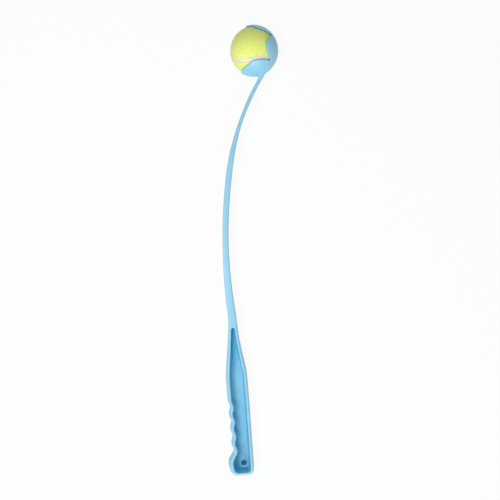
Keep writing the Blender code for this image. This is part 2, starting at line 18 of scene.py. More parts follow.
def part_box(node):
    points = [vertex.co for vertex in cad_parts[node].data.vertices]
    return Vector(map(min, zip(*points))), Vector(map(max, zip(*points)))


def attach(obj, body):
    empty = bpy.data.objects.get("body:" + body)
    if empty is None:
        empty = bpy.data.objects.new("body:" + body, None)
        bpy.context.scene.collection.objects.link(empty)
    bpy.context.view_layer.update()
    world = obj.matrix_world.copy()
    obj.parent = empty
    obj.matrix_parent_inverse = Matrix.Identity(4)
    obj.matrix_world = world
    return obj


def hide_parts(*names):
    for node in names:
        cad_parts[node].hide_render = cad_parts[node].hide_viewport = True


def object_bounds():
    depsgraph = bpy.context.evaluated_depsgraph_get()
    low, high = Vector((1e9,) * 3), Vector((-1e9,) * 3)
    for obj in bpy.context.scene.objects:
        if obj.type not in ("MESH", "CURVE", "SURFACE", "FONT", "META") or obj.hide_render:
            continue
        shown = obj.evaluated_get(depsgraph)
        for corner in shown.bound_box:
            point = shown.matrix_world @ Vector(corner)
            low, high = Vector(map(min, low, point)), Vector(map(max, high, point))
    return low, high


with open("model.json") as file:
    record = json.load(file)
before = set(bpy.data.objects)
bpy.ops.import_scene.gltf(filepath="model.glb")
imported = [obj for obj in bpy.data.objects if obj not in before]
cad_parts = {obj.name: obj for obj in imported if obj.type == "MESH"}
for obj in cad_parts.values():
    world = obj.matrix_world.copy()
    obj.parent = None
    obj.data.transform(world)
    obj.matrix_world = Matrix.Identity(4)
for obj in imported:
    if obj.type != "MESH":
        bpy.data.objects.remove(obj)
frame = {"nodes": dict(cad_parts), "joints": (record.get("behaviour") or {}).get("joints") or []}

MM = 0.001
cad_low, cad_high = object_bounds()
print("the packed part measures", [round(side / MM, 1) for side in cad_high - cad_low], "mm")

# %% [markdown]
# A material in Blender is a tree of nodes, and most nodes here do one small sum. Each could be built by
# hand in four or five lines, but then the lesson would be mostly wiring. So a few helpers add a node, feed
# it with numbers or with other nodes' results, and hand back what it puts out.

# %% Objects, materials and nodes
def add_object(name, data):
    made = bpy.data.objects.new(name, data)
    bpy.context.scene.collection.objects.link(made)
    return made


def new_material(name, color, roughness, specular):
    """A material, its node tree and its shader."""
    made = bpy.data.materials.new(name)
    made.use_nodes = True
    shader = made.node_tree.nodes["Principled BSDF"]
    shader.inputs["Base Color"].default_value = (*color, 1)
    shader.inputs["Roughness"].default_value = roughness
    shader.inputs["Specular IOR Level"].default_value = specular
    return made, made.node_tree, shader


def feed(tree, socket, value):
    """Links a socket to another node's result, or sets it to a number or a colour."""
    if isinstance(value, bpy.types.NodeSocket):
        tree.links.new(value, socket)
    else:
        socket.default_value = value


def fed_node(tree, kind, **inputs):
    """A new node with its inputs fed by name: From_Min is the input From Min."""
    node = tree.nodes.new(kind)
    for title, value in inputs.items():
        feed(tree, node.inputs[title.replace("_", " ")], value)
    return node


def calculated(tree, operation, first, second=0.0):
    node = tree.nodes.new("ShaderNodeMath")
    node.operation = operation
    feed(tree, node.inputs[0], first)
    feed(tree, node.inputs[1], second)
    return node.outputs[0]


def ramp(tree, value, start, end, low=0.0, high=1.0):
    """Runs from low to high while the value runs from start to end."""
    node = fed_node(
        tree, "ShaderNodeMapRange", Value=value, From_Min=start, From_Max=end, To_Min=low, To_Max=high
    )
    return node.outputs[0]


def blend(tree, factor, first, second):
    """A colour between two colours."""
    node = tree.nodes.new("ShaderNodeMix")
    node.data_type = "RGBA"
    for title, value in (("Factor", factor), ("A", first), ("B", second)):
        feed(tree, node.inputs[title], value)
    return node.outputs["Result"]


def object_place(tree):
    """The shaded point in its object's own coordinates."""
    return tree.nodes.new("ShaderNodeTexCoord").outputs["Object"]


def distance_from(tree, point):
    node = tree.nodes.new("ShaderNodeVectorMath")
    node.operation = "DISTANCE"
    feed(tree, node.inputs[0], object_place(tree))
    feed(tree, node.inputs[1], point)
    return node.outputs["Value"]


print("node helpers ready")

# %% [markdown]
# The thrower lies on its side, so nothing on it is quite level. It is easier to draw it in a frame of its
# own: the ball's centre at the origin, the mould's parting plane flat, and the handle straight down the
# page. The two rubber halves of the ball give the centre, and the direction in which the ball leaves the
# cup gives the small angle at which everything lies.

# %% The thrower's own frame
core_boxes = [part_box("ball_core_half_a"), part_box("ball_core_half_b")]
core_low = Vector(map(min, core_boxes[0][0], core_boxes[1][0]))
core_high = Vector(map(max, core_boxes[0][1], core_boxes[1][1]))
ball_centre = (core_low + core_high) / 2
release = Vector(frame["joints"][0]["axis"])
LIE_ANGLE = math.atan2(release.z, release.y)
LAY = Matrix.Translation(ball_centre) @ Matrix.Rotation(LIE_ANGLE, 4, "X")
GROUND = LAY.to_3x3().inverted() @ Vector((0, 0, -1))
print("the thrower lies at", round(math.degrees(LIE_ANGLE), 2), "degrees")

# %% [markdown]
# The photograph looks square onto the thrower from about 0.85 m, so the ball and the butt are both seen
# a little from the side. The lens is worked out from how much of the parting plane the picture shows, and
# the camera is placed in the thrower's own frame, so it looks square onto it as well.

# %% Camera
CAMERA_AIM = Vector((-5.0 * MM, -283.0 * MM, 0))
CAMERA_DISTANCE = 850 * MM
HALF_VIEW = 355.6 * MM

camera_data = bpy.data.cameras.new("photo_camera")
camera_data.lens = camera_data.sensor_width / 2 * CAMERA_DISTANCE / HALF_VIEW
camera = add_object("photo_camera", camera_data)
camera.matrix_world = LAY @ Matrix.Translation(CAMERA_AIM + Vector((0, 0, CAMERA_DISTANCE)))
bpy.context.scene.camera = camera
bpy.context.scene.view_settings.view_transform = "Standard"
print("the lens is", round(camera_data.lens, 1), "mm")

# %% [markdown]
# The studio is a white sheet and soft lamps. The sheet looks white to the camera because part of it glows
# for camera, mirror and glass rays alone, so that no extra light falls on the thrower. The rest of the
# sheet is plain white paint, which keeps the soft shadow under the ball and the wand. Far from the thrower
# the glow grows to the full white of the sky, so that no horizon shows. Large soft lamps suit a satin
# plastic: the left one shades the channel, the front one lights the wand, and a faint one fills the right.

# %% White for the camera alone
def seen_directly(tree):
    """1 for camera, mirror and glass rays, and 0 for all others."""
    path = tree.nodes.new("ShaderNodeLightPath")
    seen = path.outputs["Is Camera Ray"]
    for kind in ("Is Glossy Ray", "Is Transmission Ray"):
        seen = calculated(tree, "MAXIMUM", seen, path.outputs[kind])
    return seen


# %% Floor
FLOOR_HALF = 4.0
FLOOR_DROP = 0.2 * MM
FLOOR_GLOW_SHARE = 0.925
GLOW_GROWTH_RANGE = (0.6, 3.0)
PAPER_COLOR = (0.85, 0.85, 0.85)
PAPER_ROUGHNESS = 0.9
PAPER_SPECULAR = 0.1

floor_mesh = bpy.data.meshes.new("paper_floor")
corners = [(x * FLOOR_HALF, y * FLOOR_HALF, -FLOOR_DROP) for x, y in ((-1, -1), (1, -1), (1, 1), (-1, 1))]
floor_mesh.from_pydata(corners, [], [(0, 1, 2, 3)])
floor = add_object("paper_floor", floor_mesh)

paper, paper_tree, paint = new_material("white_paper", PAPER_COLOR, PAPER_ROUGHNESS, PAPER_SPECULAR)
glow = fed_node(paper_tree, "ShaderNodeEmission", Strength=1.0)
growth = ramp(paper_tree, distance_from(paper_tree, (0, 0, 0)), *GLOW_GROWTH_RANGE, FLOOR_GLOW_SHARE)
share = calculated(paper_tree, "MULTIPLY", seen_directly(paper_tree), growth)
mixed = paper_tree.nodes.new("ShaderNodeMixShader")
for socket, result in zip(mixed.inputs, (share, paint.outputs[0], glow.outputs[0])):
    feed(paper_tree, socket, result)
feed(paper_tree, paper_tree.nodes["Material Output"].inputs["Surface"], mixed.outputs[0])
floor.data.materials.append(paper)
print("the floor is", 2 * FLOOR_HALF, "m wide")

# %% Sky
SKY_LIGHT = 0.31

world = bpy.data.worlds.new("studio")
world.use_nodes = True
sky_tree = world.node_tree
sky = sky_tree.nodes["Background"]
sky.inputs["Color"].default_value = (1, 1, 1, 1)
feed(sky_tree, sky.inputs["Strength"], ramp(sky_tree, seen_directly(sky_tree), 0.0, 1.0, SKY_LIGHT))
bpy.context.scene.world = world
print("the sky lights the thrower at", SKY_LIGHT)

# %% Lamps
LAMP_TABLE = {
    "left_softbox": (Vector((-0.42, -0.15, 1.2)), 0.4, 8.2),
    "right_softbox": (Vector((0.50, 0.0, 1.15)), 0.6, 0.5),
    "front_softbox": (Vector((0.1, -2.2, 1.0)), 1.8, 36.0),
}


def softbox(name, place, side, watts):
    """A square lamp that faces the middle of the wand."""
    data = bpy.data.lights.new(name, "AREA")
    data.size = side
    data.energy = watts
    lamp = add_object(name, data)
    lamp.location = LAY @ CAMERA_AIM + place
    lamp.rotation_euler = (-place).to_track_quat("-Z", "Y").to_euler()


for lamp_name, (place, side, watts) in LAMP_TABLE.items():
    softbox(lamp_name, place, side, watts)
print("lamps:", ", ".join(LAMP_TABLE))

# %% [markdown]
# Every piece here is a closed skin of points and faces, so a few small helpers come first. One turns
# points into a mesh with its faces outwards. Another joins a row of rings into a tube with flat ends,
# which is called a loft. The last gives a thin sheet its second side, as a moulding tool would.

# %% Rings, sheets and guides
def meshed(name, points, faces):
    mesh = bpy.data.meshes.new(name)
    mesh.from_pydata([tuple(p) for p in points], [], faces)
    shaped = bmesh.new()
    shaped.from_mesh(mesh)
    bmesh.ops.recalc_face_normals(shaped, faces=shaped.faces)
    shaped.to_mesh(mesh)
    shaped.free()
    return add_object(name, mesh)


def tube_faces(first, count, rings):
    """Faces through rings of count points each, numbered on from first, with a flat cap at each end."""
    last = first + count * (rings - 1)
    faces = [list(range(first, first + count))[::-1], list(range(last, last + count))]
    for low in range(first, last, count):
        for side in range(count):
            a, b = low + side, low + (side + 1) % count
            faces.append([a, b, b + count, a + count])
    return faces


def lofted(name, rings):
    """A closed body through rings of points."""
    points = [p for ring in rings for p in ring]
    return meshed(name, points, tube_faces(0, len(rings[0]), len(rings)))


def strip_faces(rows):
    """Faces between rows of point numbers. A corner that two rows share is named once."""
    faces = []
    for low, high in zip(rows, rows[1:]):
        for i in range(len(low) - 1):
            ring = dict.fromkeys([low[i], high[i], high[i + 1], low[i + 1]])
            if len(ring) > 2:
                faces.append(list(ring))
    return faces


def walled_sheet(name, outer, inner, sheet):
    """One sheet of faces at its outer and at its inner points, joined along the edge."""
    count = len(outer)
    sides = {(a, b) for face in sheet for a, b in zip(face, face[1:] + face[:1])}
    rim = [[a, b, b + count, a + count] for a, b in sorted(sides) if (b, a) not in sides]
    back = [[i + count for i in reversed(face)] for face in sheet]
    return meshed(name, outer + inner, sheet + back + rim)


print("helpers ready")

# %% [markdown]
# The wand isn't straight: it bows twice, tightly below the cup and then gently, so that it whips in a
# throw. A free curve could follow it, but a mould is drawn with true arcs. So its centre line is a chain
# of one short straight run, three arcs and the straight handle, and a function walks down that chain.

# %% The centre line
BALL_RADIUS = 33.0 * MM
BALL_CLEARANCE = 0.4 * MM
CUP_WALL = 1.8 * MM
CUP_INNER_RADIUS = BALL_RADIUS + BALL_CLEARANCE
CUP_OUTER_RADIUS = CUP_INNER_RADIUS + CUP_WALL
ROOT_PLACE_DEG = -67.8
ROOT_HEADING_DEG = 28.8
ROOT_STRAIGHT = 15.3 * MM
UPPER_BEND_RADIUS = 344.0 * MM
UPPER_BEND_DEG = 21.5
LOWER_BEND_RADIUS = 729.0 * MM
LOWER_BEND_DEG = 16.2
NECK_BEND_RADIUS = 100.0 * MM
HANDLE_CANT_DEG = 5.0
HANDLE_LENGTH = 220.5 * MM

neck_turn = math.radians(HANDLE_CANT_DEG + ROOT_HEADING_DEG - UPPER_BEND_DEG - LOWER_BEND_DEG)
RUNS = [
    (ROOT_STRAIGHT, 0.0),
    (UPPER_BEND_RADIUS * math.radians(UPPER_BEND_DEG), -1 / UPPER_BEND_RADIUS),
    (LOWER_BEND_RADIUS * math.radians(LOWER_BEND_DEG), -1 / LOWER_BEND_RADIUS),
    (NECK_BEND_RADIUS * abs(neck_turn), math.copysign(1 / NECK_BEND_RADIUS, -neck_turn)),
    (HANDLE_LENGTH, 0.0),
]
WAND_LENGTH = sum(length for length, _ in RUNS[:-1])


def stick_place(distance):
    """Centre and palm-side direction, a distance down from the cup's outside."""
    root = math.radians(ROOT_PLACE_DEG)
    centre = Vector((math.cos(root), math.sin(root), 0)) * CUP_OUTER_RADIUS
    heading = math.radians(ROOT_HEADING_DEG)
    left = distance
    for length, turn in RUNS:
        run = min(left, length)
        middle = heading + turn * run / 2
        chord = 2 * math.sin(turn * run / 2) / turn if turn else run
        centre += Vector((-math.sin(middle), -math.cos(middle), 0)) * chord
        heading += turn * run
        left -= run
        if left <= 0:
            break
    return centre, Vector((math.cos(heading), -math.sin(heading), 0))


print("the wand is", round(WAND_LENGTH / MM, 1), "mm long")

# %% [markdown]
# The outline is measured, not guessed. The wand widens in two stretches, and the handle grows out of it,
# dips four times for the fingers and ends in a pommel that keeps the hand from sliding off. Points set by
# hand would leave bumps, so soft steps and one smooth curve through a few shares of the length draw it.

# %% Soft steps and corners
def ease(t):
    """Soft step from 0 to 1."""
    t = min(max(t, 0.0), 1.0)
    return t * t * (3 - 2 * t)


def corner_drop(t, power=2.0):
    """How far a rounded corner has come in, a share t of the way along it."""
    t = min(max(t, 0.0), 1.0)
    return 1 - (1 - t**power) ** (1 / power)


def smooth_value(points, at):
    """A smooth curve through (place, value) points, read at one place."""
    if at <= points[0][0]:
        return points[0][1]
    if at >= points[-1][0]:
        return points[-1][1]
    index = max(i for i in range(len(points) - 1) if points[i][0] <= at)

    def slope(i):
        before, after = points[max(i - 1, 0)], points[min(i + 1, len(points) - 1)]
        return (after[1] - before[1]) / (after[0] - before[0])

    (start, low), (end, high) = points[index], points[index + 1]
    span = end - start
    t = (at - start) / span
    if high == low:
        return low
    value = (2 * t**3 - 3 * t**2 + 1) * low + (3 * t**2 - 2 * t**3) * high
    return value + ((t**3 - 2 * t**2 + t) * slope(index) + (t**3 - t**2) * slope(index + 1)) * span


print("half way along a round corner it has come in", round(corner_drop(0.5), 3))

# %% Widths and depths of the wand
WAND_TOP_WIDTH = 5.25 * MM
WAND_MID_WIDTH = 8.6 * MM
WAND_LOW_WIDTH = 11.8 * MM
WAND_TOP_DEPTH = 8.0 * MM
WAND_LOW_DEPTH = 11.0 * MM
WAND_EDGE = 1.2 * MM
ROOT_FLARE = 2.6 * MM
ROOT_FLARE_LENGTH = 12.0 * MM
MIDDLE_GROWTH_SHARES = (0.18, 0.44)
LOW_GROWTH_SHARES = (0.66, 1.06)


def grown_between(stretch, share):
    start, end = stretch
    return ease((share - start) / (end - start)) / ease((1 - start) / (end - start))


def wand_half_width(distance):
    share = distance / WAND_LENGTH
    width = WAND_TOP_WIDTH
    width += (WAND_MID_WIDTH - WAND_TOP_WIDTH) * grown_between(MIDDLE_GROWTH_SHARES, share)
    width += (WAND_LOW_WIDTH - WAND_MID_WIDTH) * grown_between(LOW_GROWTH_SHARES, share)
    return width / 2


print("half way down the wand is", round(2 * wand_half_width(WAND_LENGTH / 2) / MM, 1), "mm wide")

# %% The handle's two sides
NECK_LENGTH = 88.0 * MM
FINGER_SIDE_HALF = 16.6 * MM
PALM_SIDE_HALF = 14.1 * MM
PALM_TAPER = 1.4 * MM
GROOVE_COUNT = 4
GROOVE_PITCH = 20.4 * MM
GROOVE_DEPTH = 2.3 * MM
FIRST_GROOVE = 123.6 * MM
LAST_GROOVE = FIRST_GROOVE + (GROOVE_COUNT - 1) * GROOVE_PITCH
POMMEL_HALF = 23.0 * MM
POMMEL_RISE = 17.5 * MM
POMMEL_CORNER = (17.5 * MM, 13.0 * MM)
PALM_CORNER = (11.5 * MM, 9.5 * MM)
CORNER_POWER = 2.4
FINGER_NECK_SHARES = [
    (0.0, 0.0), (0.11, 0.05), (0.25, 0.19), (0.51, 0.505), (0.76, 0.82), (0.90, 0.96), (1.0, 1.0),
]
PALM_NECK_SHARES = [
    (0.0, 0.0), (0.16, 0.06), (0.34, 0.21), (0.50, 0.41), (0.73, 0.77), (0.86, 0.95), (1.0, 1.0),
]


def groove(down):
    turns = (down - FIRST_GROOVE) / GROOVE_PITCH + 0.5
    if turns < 0 or turns > GROOVE_COUNT:
        return 0.0
    return GROOVE_DEPTH * (1 - math.cos(2 * math.pi * turns)) / 2


def butt_corner(down, corner):
    length, width = corner
    return width * corner_drop((down - HANDLE_LENGTH) / length + 1, CORNER_POWER)


def finger_half(down):
    grown = smooth_value(FINGER_NECK_SHARES, down / NECK_LENGTH)
    half = WAND_LOW_WIDTH / 2 + grown * (FINGER_SIDE_HALF - WAND_LOW_WIDTH / 2) - groove(down)
    if down > LAST_GROOVE:
        valley = FINGER_SIDE_HALF - GROOVE_DEPTH
        half = valley + (POMMEL_HALF - valley) * ease((down - LAST_GROOVE) / POMMEL_RISE)
    return half - butt_corner(down, POMMEL_CORNER)


def palm_half(down):
    grown = smooth_value(PALM_NECK_SHARES, down / NECK_LENGTH)
    half = WAND_LOW_WIDTH / 2 + grown * (PALM_SIDE_HALF - WAND_LOW_WIDTH / 2)
    half -= PALM_TAPER * ease((down - NECK_LENGTH) / (HANDLE_LENGTH - NECK_LENGTH))
    return half - butt_corner(down, PALM_CORNER)


grip = FIRST_GROOVE - GROOVE_PITCH / 2
print("the grip is", round((finger_half(grip) + palm_half(grip)) / MM, 1), "mm across")

# %% The handle's depth and rounded edges
HANDLE_DEPTH = 25.0 * MM
BUTT_ROUND = 3.0 * MM
BUTT_END_SHARE = 0.55
FINGER_RIM_INSET = 3.0 * MM
POMMEL_RIM_INSET = 4.4 * MM
PALM_RIM_INSET = 2.0 * MM
BACK_INSET = 3.0 * MM
DEPTH_NECK_SHARES = [(0.0, 0.0), (0.14, 0.10), (0.45, 0.56), (0.70, 0.93), (0.86, 1.0), (1.0, 1.0)]


def neck_growth(down):
    return smooth_value(DEPTH_NECK_SHARES, down / NECK_LENGTH)


def handle_half_depth(down):
    half = WAND_LOW_DEPTH / 2 + neck_growth(down) * (HANDLE_DEPTH - WAND_LOW_DEPTH) / 2
    rounded = corner_drop((down - HANDLE_LENGTH + BUTT_ROUND) / BUTT_ROUND)
    return half * (1 - (1 - BUTT_END_SHARE) * rounded)


def grown_inset(down, full):
    """How far an edge is rounded in, between the wand's and the handle's full inset."""
    return WAND_EDGE + neck_growth(down) * (full - WAND_EDGE)


def finger_rim_inset(down):
    pommel = (POMMEL_RIM_INSET - FINGER_RIM_INSET) * ease((down - LAST_GROOVE) / POMMEL_RISE)
    return grown_inset(down, FINGER_RIM_INSET) + pommel


print("the handle is", round(HANDLE_DEPTH / MM, 1), "mm deep")

# %% [markdown]
# A cut through the wand or the handle is a rectangle with well rounded sides. The side curves a little
# from the parting line on and hardest at the rim, like a squashed ellipse, so one power curve draws it.
# A bevel would round the edges too, but not the whole side. Rings of such cuts, set along the centre line,
# then join into one closed stick.

# %% Cross-sections
SIDE_STEPS = 9
RIM_POWER = 2.45
BACK_POWER = 2.0
HEIGHT_SHARES = [math.sin(math.pi / 2 * i / SIDE_STEPS) for i in range(SIDE_STEPS + 1)]


def half_side(edge, inset, half_depth, power):
    """Points from the parting line out to the rim or the back, on the side at +edge."""
    return [(edge - inset * corner_drop(share, power), share * half_depth) for share in HEIGHT_SHARES]


def section(finger, palm, half_depth, finger_rim, palm_rim, back):
    """(across, height) points from the palm side's rim round to the finger side's rim."""
    sides = []
    for edge, rim in ((palm, palm_rim), (finger, finger_rim)):
        side = half_side(edge, rim, half_depth, RIM_POWER)[::-1]
        sides.append(side + half_side(edge, back, -half_depth, BACK_POWER)[1:])
    return sides[0] + [(-across, height) for across, height in reversed(sides[1])]


def wand_section(distance):
    half = wand_half_width(distance)
    flare = ROOT_FLARE * (1 - ease(distance / ROOT_FLARE_LENGTH))
    depth = WAND_TOP_DEPTH + flare + (WAND_LOW_DEPTH - WAND_TOP_DEPTH) * distance / WAND_LENGTH
    return section(half + flare, half, depth / 2, WAND_EDGE, WAND_EDGE, WAND_EDGE)


def handle_section(down):
    sides = finger_half(down), palm_half(down), handle_half_depth(down)
    rims = finger_rim_inset(down), grown_inset(down, PALM_RIM_INSET)
    return section(*sides, *rims, grown_inset(down, BACK_INSET))


def ring_at(distance, points):
    centre, palm = stick_place(distance)
    return [centre + palm * across + Vector((0, 0, height)) for across, height in points]


print("each section has", len(handle_section(0)), "points")

# %% Wand and handle
ROOT_BURY = 9.0 * MM
WAND_STEP = 3.0 * MM
HANDLE_STEP = 1.5 * MM
END_STATIONS = 12


def spread(start, end, step):
    """Evenly spaced places from start up to, but not at, end."""
    count = max(round((end - start) / step), 1)
    return [start + (end - start) * i / count for i in range(count)]


def rounded_end(start, end):
    """Places that crowd towards the end, for a rounded corner."""
    return [start + (end - start) * math.sin(math.pi / 2 * i / END_STATIONS) for i in range(END_STATIONS + 1)]


def make_stick():
    root, palm = stick_place(0.0)
    upwards = Vector((-palm.y, palm.x, 0)) * ROOT_BURY
    rings = [[point + upwards for point in ring_at(0.0, wand_section(0.0))]]
    rings += [ring_at(d, wand_section(d)) for d in spread(0.0, WAND_LENGTH, WAND_STEP)]
    downs = spread(0.0, HANDLE_LENGTH - BUTT_ROUND, HANDLE_STEP)
    downs += rounded_end(HANDLE_LENGTH - BUTT_ROUND, HANDLE_LENGTH)
    rings += [ring_at(WAND_LENGTH + d, handle_section(d)) for d in downs]
    return lofted("stick", rings)


stick = make_stick()
print("the stick has", len(stick.data.polygons), "faces")

# %% [markdown]
# The handle is hollow to save plastic and to let the mould open. The hollow is drawn as the block of
# steel that fills it in the mould: rounded at both ends, a little narrower at its floor, and taller than
# the rim so that it cuts cleanly. The hanging hole is a pin of steel through that block.

# %% Mould core and hole pin
RIM_WALL = 3.1 * MM
BUTT_WALL = 4.6 * MM
FLOOR_WALL = 3.0 * MM
CAVITY_TIP = 12.5 * MM
CAVITY_TIP_ROUND = 3.0 * MM
CAVITY_CORNER = 4.0 * MM
CAVITY_FLOOR_ROUND = 5.0 * MM
CAVITY_FLOOR_TUCK = 2.5 * MM
CAVITY_DRAFT = 0.5 * MM
CAVITY_END = HANDLE_LENGTH - BUTT_WALL
CUT_OVERRUN = 2.0 * MM
FLOOR_CORNER_STEPS = 6
HANG_HOLE_RADIUS = 3.6 * MM
HANG_HOLE_FROM_END = 6.4 * MM
HANG_HOLE_OFFSET = -1.5 * MM
PIN_STEPS = 64


def cavity_section(down):
    """(across, height) points of the hollow, from above the rim down to the floor and up again."""
    tip = 1 - corner_drop((CAVITY_TIP + CAVITY_TIP_ROUND - down) / CAVITY_TIP_ROUND)
    corner = CAVITY_CORNER * corner_drop((down - CAVITY_END + CAVITY_CORNER) / CAVITY_CORNER)
    finger = (finger_half(down) - finger_rim_inset(down) - RIM_WALL) * tip - corner
    palm = (palm_half(down) - grown_inset(down, PALM_RIM_INSET) - RIM_WALL) * tip - corner
    rim = handle_half_depth(down)
    fit = min(1.0, finger / CAVITY_FLOOR_ROUND, palm / CAVITY_FLOOR_ROUND)
    profile = [(-CAVITY_DRAFT * fit, rim + CUT_OVERRUN)]
    for step in range(FLOOR_CORNER_STEPS + 1):
        turn = math.pi / 2 * step / FLOOR_CORNER_STEPS
        inwards = CAVITY_DRAFT + CAVITY_FLOOR_TUCK * (1 - math.cos(turn))
        upwards = CAVITY_FLOOR_ROUND * (1 - math.sin(turn))
        profile.append((inwards * fit, FLOOR_WALL - rim + upwards * fit))
    return [(palm - a, h) for a, h in profile] + [(a - finger, h) for a, h in reversed(profile)]


def make_cavity():
    tip_end = CAVITY_TIP + CAVITY_TIP_ROUND
    tip = [tip_end - d for d in reversed(rounded_end(0.0, CAVITY_TIP_ROUND))][1:-1]
    downs = tip + spread(tip_end, CAVITY_END - CAVITY_CORNER, HANDLE_STEP)
    downs += rounded_end(CAVITY_END - CAVITY_CORNER, CAVITY_END)
    return lofted("mould_core", [ring_at(WAND_LENGTH + d, cavity_section(d)) for d in downs])


def steel_pin(name, base, axis, radius, reaches):
    """A round pin along an axis through base, between two reaches from it."""
    across = axis.orthogonal().normalized() * radius
    spokes = [Matrix.Rotation(2 * math.pi * i / PIN_STEPS, 3, axis) @ across for i in range(PIN_STEPS)]
    return lofted(name, [[base + axis * reach + spoke for spoke in spokes] for reach in reaches])


mould_core = make_cavity()
hole_place, palm = stick_place(WAND_LENGTH + CAVITY_END - HANG_HOLE_FROM_END)
hole_place += palm * HANG_HOLE_OFFSET + Vector((0, 0, -HANDLE_DEPTH / 2))
through = -CUT_OVERRUN, FLOOR_WALL + CAVITY_FLOOR_ROUND
hole_pin = steel_pin("hole_pin", hole_place, Vector((0, 0, 1)), HANG_HOLE_RADIUS, through)
print("the hollow is", round((CAVITY_END - CAVITY_TIP) / MM, 1), "mm long")

# %% [markdown]
# The paper under the handle gets no light of its own, and in the photograph it shows through the hole as a
# dark spot. A lid under the hole would be a piece that isn't there. So the white glow fades out in a small
# circle of paper instead, and the paper itself fades to the blue of deep shade.

# %% Shade under the hanging hole
SHADE_SPREAD = 1.6
SHADE_RADIUS = HANG_HOLE_RADIUS * SHADE_SPREAD
SHADE_EDGE = 1.0 * MM
SHADE_COLOR = (0.10, 0.14, 0.24)

shade_centre = LAY @ hole_place
away = distance_from(paper_tree, shade_centre)
lit = ramp(paper_tree, away, SHADE_RADIUS, SHADE_RADIUS + SHADE_EDGE, 0.0, growth)
feed(paper_tree, share.node.inputs[1], lit)
shaded = blend(paper_tree, lit, (*SHADE_COLOR, 1), (*PAPER_COLOR, 1))
feed(paper_tree, paint.inputs["Base Color"], shaded)
print("shade at", [round(c / MM, 1) for c in shade_centre], "mm")

# %% [markdown]
# The cup is part of a hollow sphere, cut into four petals. Two long jaws reach past the middle of the
# ball, so they have to spring open to let it go, and two short petals steady it at the sides. A sphere
# could be cut with tools, but petals are easier to draw with two angles: how far from the back of the
# cup, and how far around it. Each slit between them ends in a round hole, so that the cup doesn't tear.

# %% Cup petals
CUP_BACK_DEG = -5.4
NOTCH_FOOT_DEG = 47.5
SIDE_PETAL_TIP_DEG = 59.8
JAW_SHOULDER_DEG = 85.0
JAW_TIP_DEG = 115.6
LOWER_JAW_HALF_DEG = 51.0
UPPER_JAW_HALF_DEG = 41.0
JAW_BULGE_DEG = 2.0
JAW_EDGE_SHARES = [(0.0, 0.0), (0.2, 0.7), (0.45, 1.0), (0.75, 1.0), (1.0, 0.5)]
SIDE_HALF_DEG = (180.0 - LOWER_JAW_HALF_DEG - UPPER_JAW_HALF_DEG) / 2
SIDE_MIDDLE_DEG = LOWER_JAW_HALF_DEG + SIDE_HALF_DEG
PETALS = [
    (0.0, LOWER_JAW_HALF_DEG, True),
    (SIDE_MIDDLE_DEG, SIDE_HALF_DEG, False),
    (180.0, UPPER_JAW_HALF_DEG, True),
    (360.0 - SIDE_MIDDLE_DEG, SIDE_HALF_DEG, False),
]
BASE_RINGS = 24
JAW_ROWS = 34
JAW_COLUMNS = 44
SIDE_ROWS = 8
SIDE_COLUMNS = 40


def cup_direction(polar_deg, around_deg):
    """Unit vector: polar angle from the cup's back, and angle around it from the lower jaw's middle."""
    back_angle = math.radians(CUP_BACK_DEG)
    back = Vector((math.cos(back_angle), math.sin(back_angle), 0))
    jaw = Vector((math.sin(back_angle), -math.cos(back_angle), 0))
    polar, around = math.radians(polar_deg), math.radians(around_deg)
    sideways = jaw * math.cos(around) + Vector((0, 0, math.sin(around)))
    return back * math.cos(polar) + sideways * math.sin(polar)


def petal_point(middle, half, is_jaw, place, way):
    """Direction of a petal's point: place runs from -1 to 1 across it, way from 0 at its foot to 1."""
    if is_jaw:
        edge = JAW_SHOULDER_DEG + (JAW_TIP_DEG - JAW_SHOULDER_DEG) * (1 - place**2)
        half += JAW_BULGE_DEG * smooth_value(JAW_EDGE_SHARES, way)
    else:
        edge = SIDE_PETAL_TIP_DEG - (SIDE_PETAL_TIP_DEG - NOTCH_FOOT_DEG) * ease(abs(place))
    return cup_direction(NOTCH_FOOT_DEG + way * (edge - NOTCH_FOOT_DEG), middle + place * half)


def petal_rows(middle, half, is_jaw, foot, directions):
    """Rows of a petal's points, from its foot on the bowl's edge to its tip. New points join directions."""
    columns = len(foot) - 1
    count = JAW_ROWS if is_jaw else SIDE_ROWS
    rows = [foot]
    for row in range(1, count + 1):
        above = []
        for column in range(columns + 1):
            place = 2 * column / columns - 1
            if not is_jaw and abs(place) == 1:
                above.append(foot[column])
                continue
            above.append(len(directions))
            directions.append(petal_point(middle, half, is_jaw, place, row / count))
        rows.append(above)
    return rows


def cup_sheet():
    """Directions and faces of the cup as a sheet: a bowl, and on its edge two jaws and two side petals."""
    arounds = []
    for middle, half, is_jaw in PETALS:
        count = JAW_COLUMNS if is_jaw else SIDE_COLUMNS
        arounds += [middle - half + 2 * half * i / count for i in range(count)]
    total = len(arounds)
    directions = [cup_direction(0.0, 0.0)]
    rows = []
    for ring in range(1, BASE_RINGS + 1):
        rows.append([len(directions) + i % total for i in range(total + 1)])
        directions += [cup_direction(NOTCH_FOOT_DEG * ring / BASE_RINGS, around) for around in arounds]
    faces = [[0, a, b] for a, b in zip(rows[0], rows[0][1:])] + strip_faces(rows)
    first = 0
    for middle, half, is_jaw in PETALS:
        count = JAW_COLUMNS if is_jaw else SIDE_COLUMNS
        foot = rows[-1][first:first + count + 1]
        faces += strip_faces(petal_rows(middle, half, is_jaw, foot, directions))
        first += count
    return directions, faces


def make_cup():
    directions, faces = cup_sheet()
    outer = [d * CUP_OUTER_RADIUS for d in directions]
    inner = [d * CUP_INNER_RADIUS for d in directions]
    return walled_sheet("moulding", outer, inner, faces)


moulding = make_cup()
print("the cup has", len(moulding.data.polygons), "faces")

# %% Round ends of the four slits
SLIT_END_RADIUS = 2.1 * MM
SLIT_OVERLAP_DEG = 0.6
SLIT_END_DEG = NOTCH_FOOT_DEG - SLIT_OVERLAP_DEG

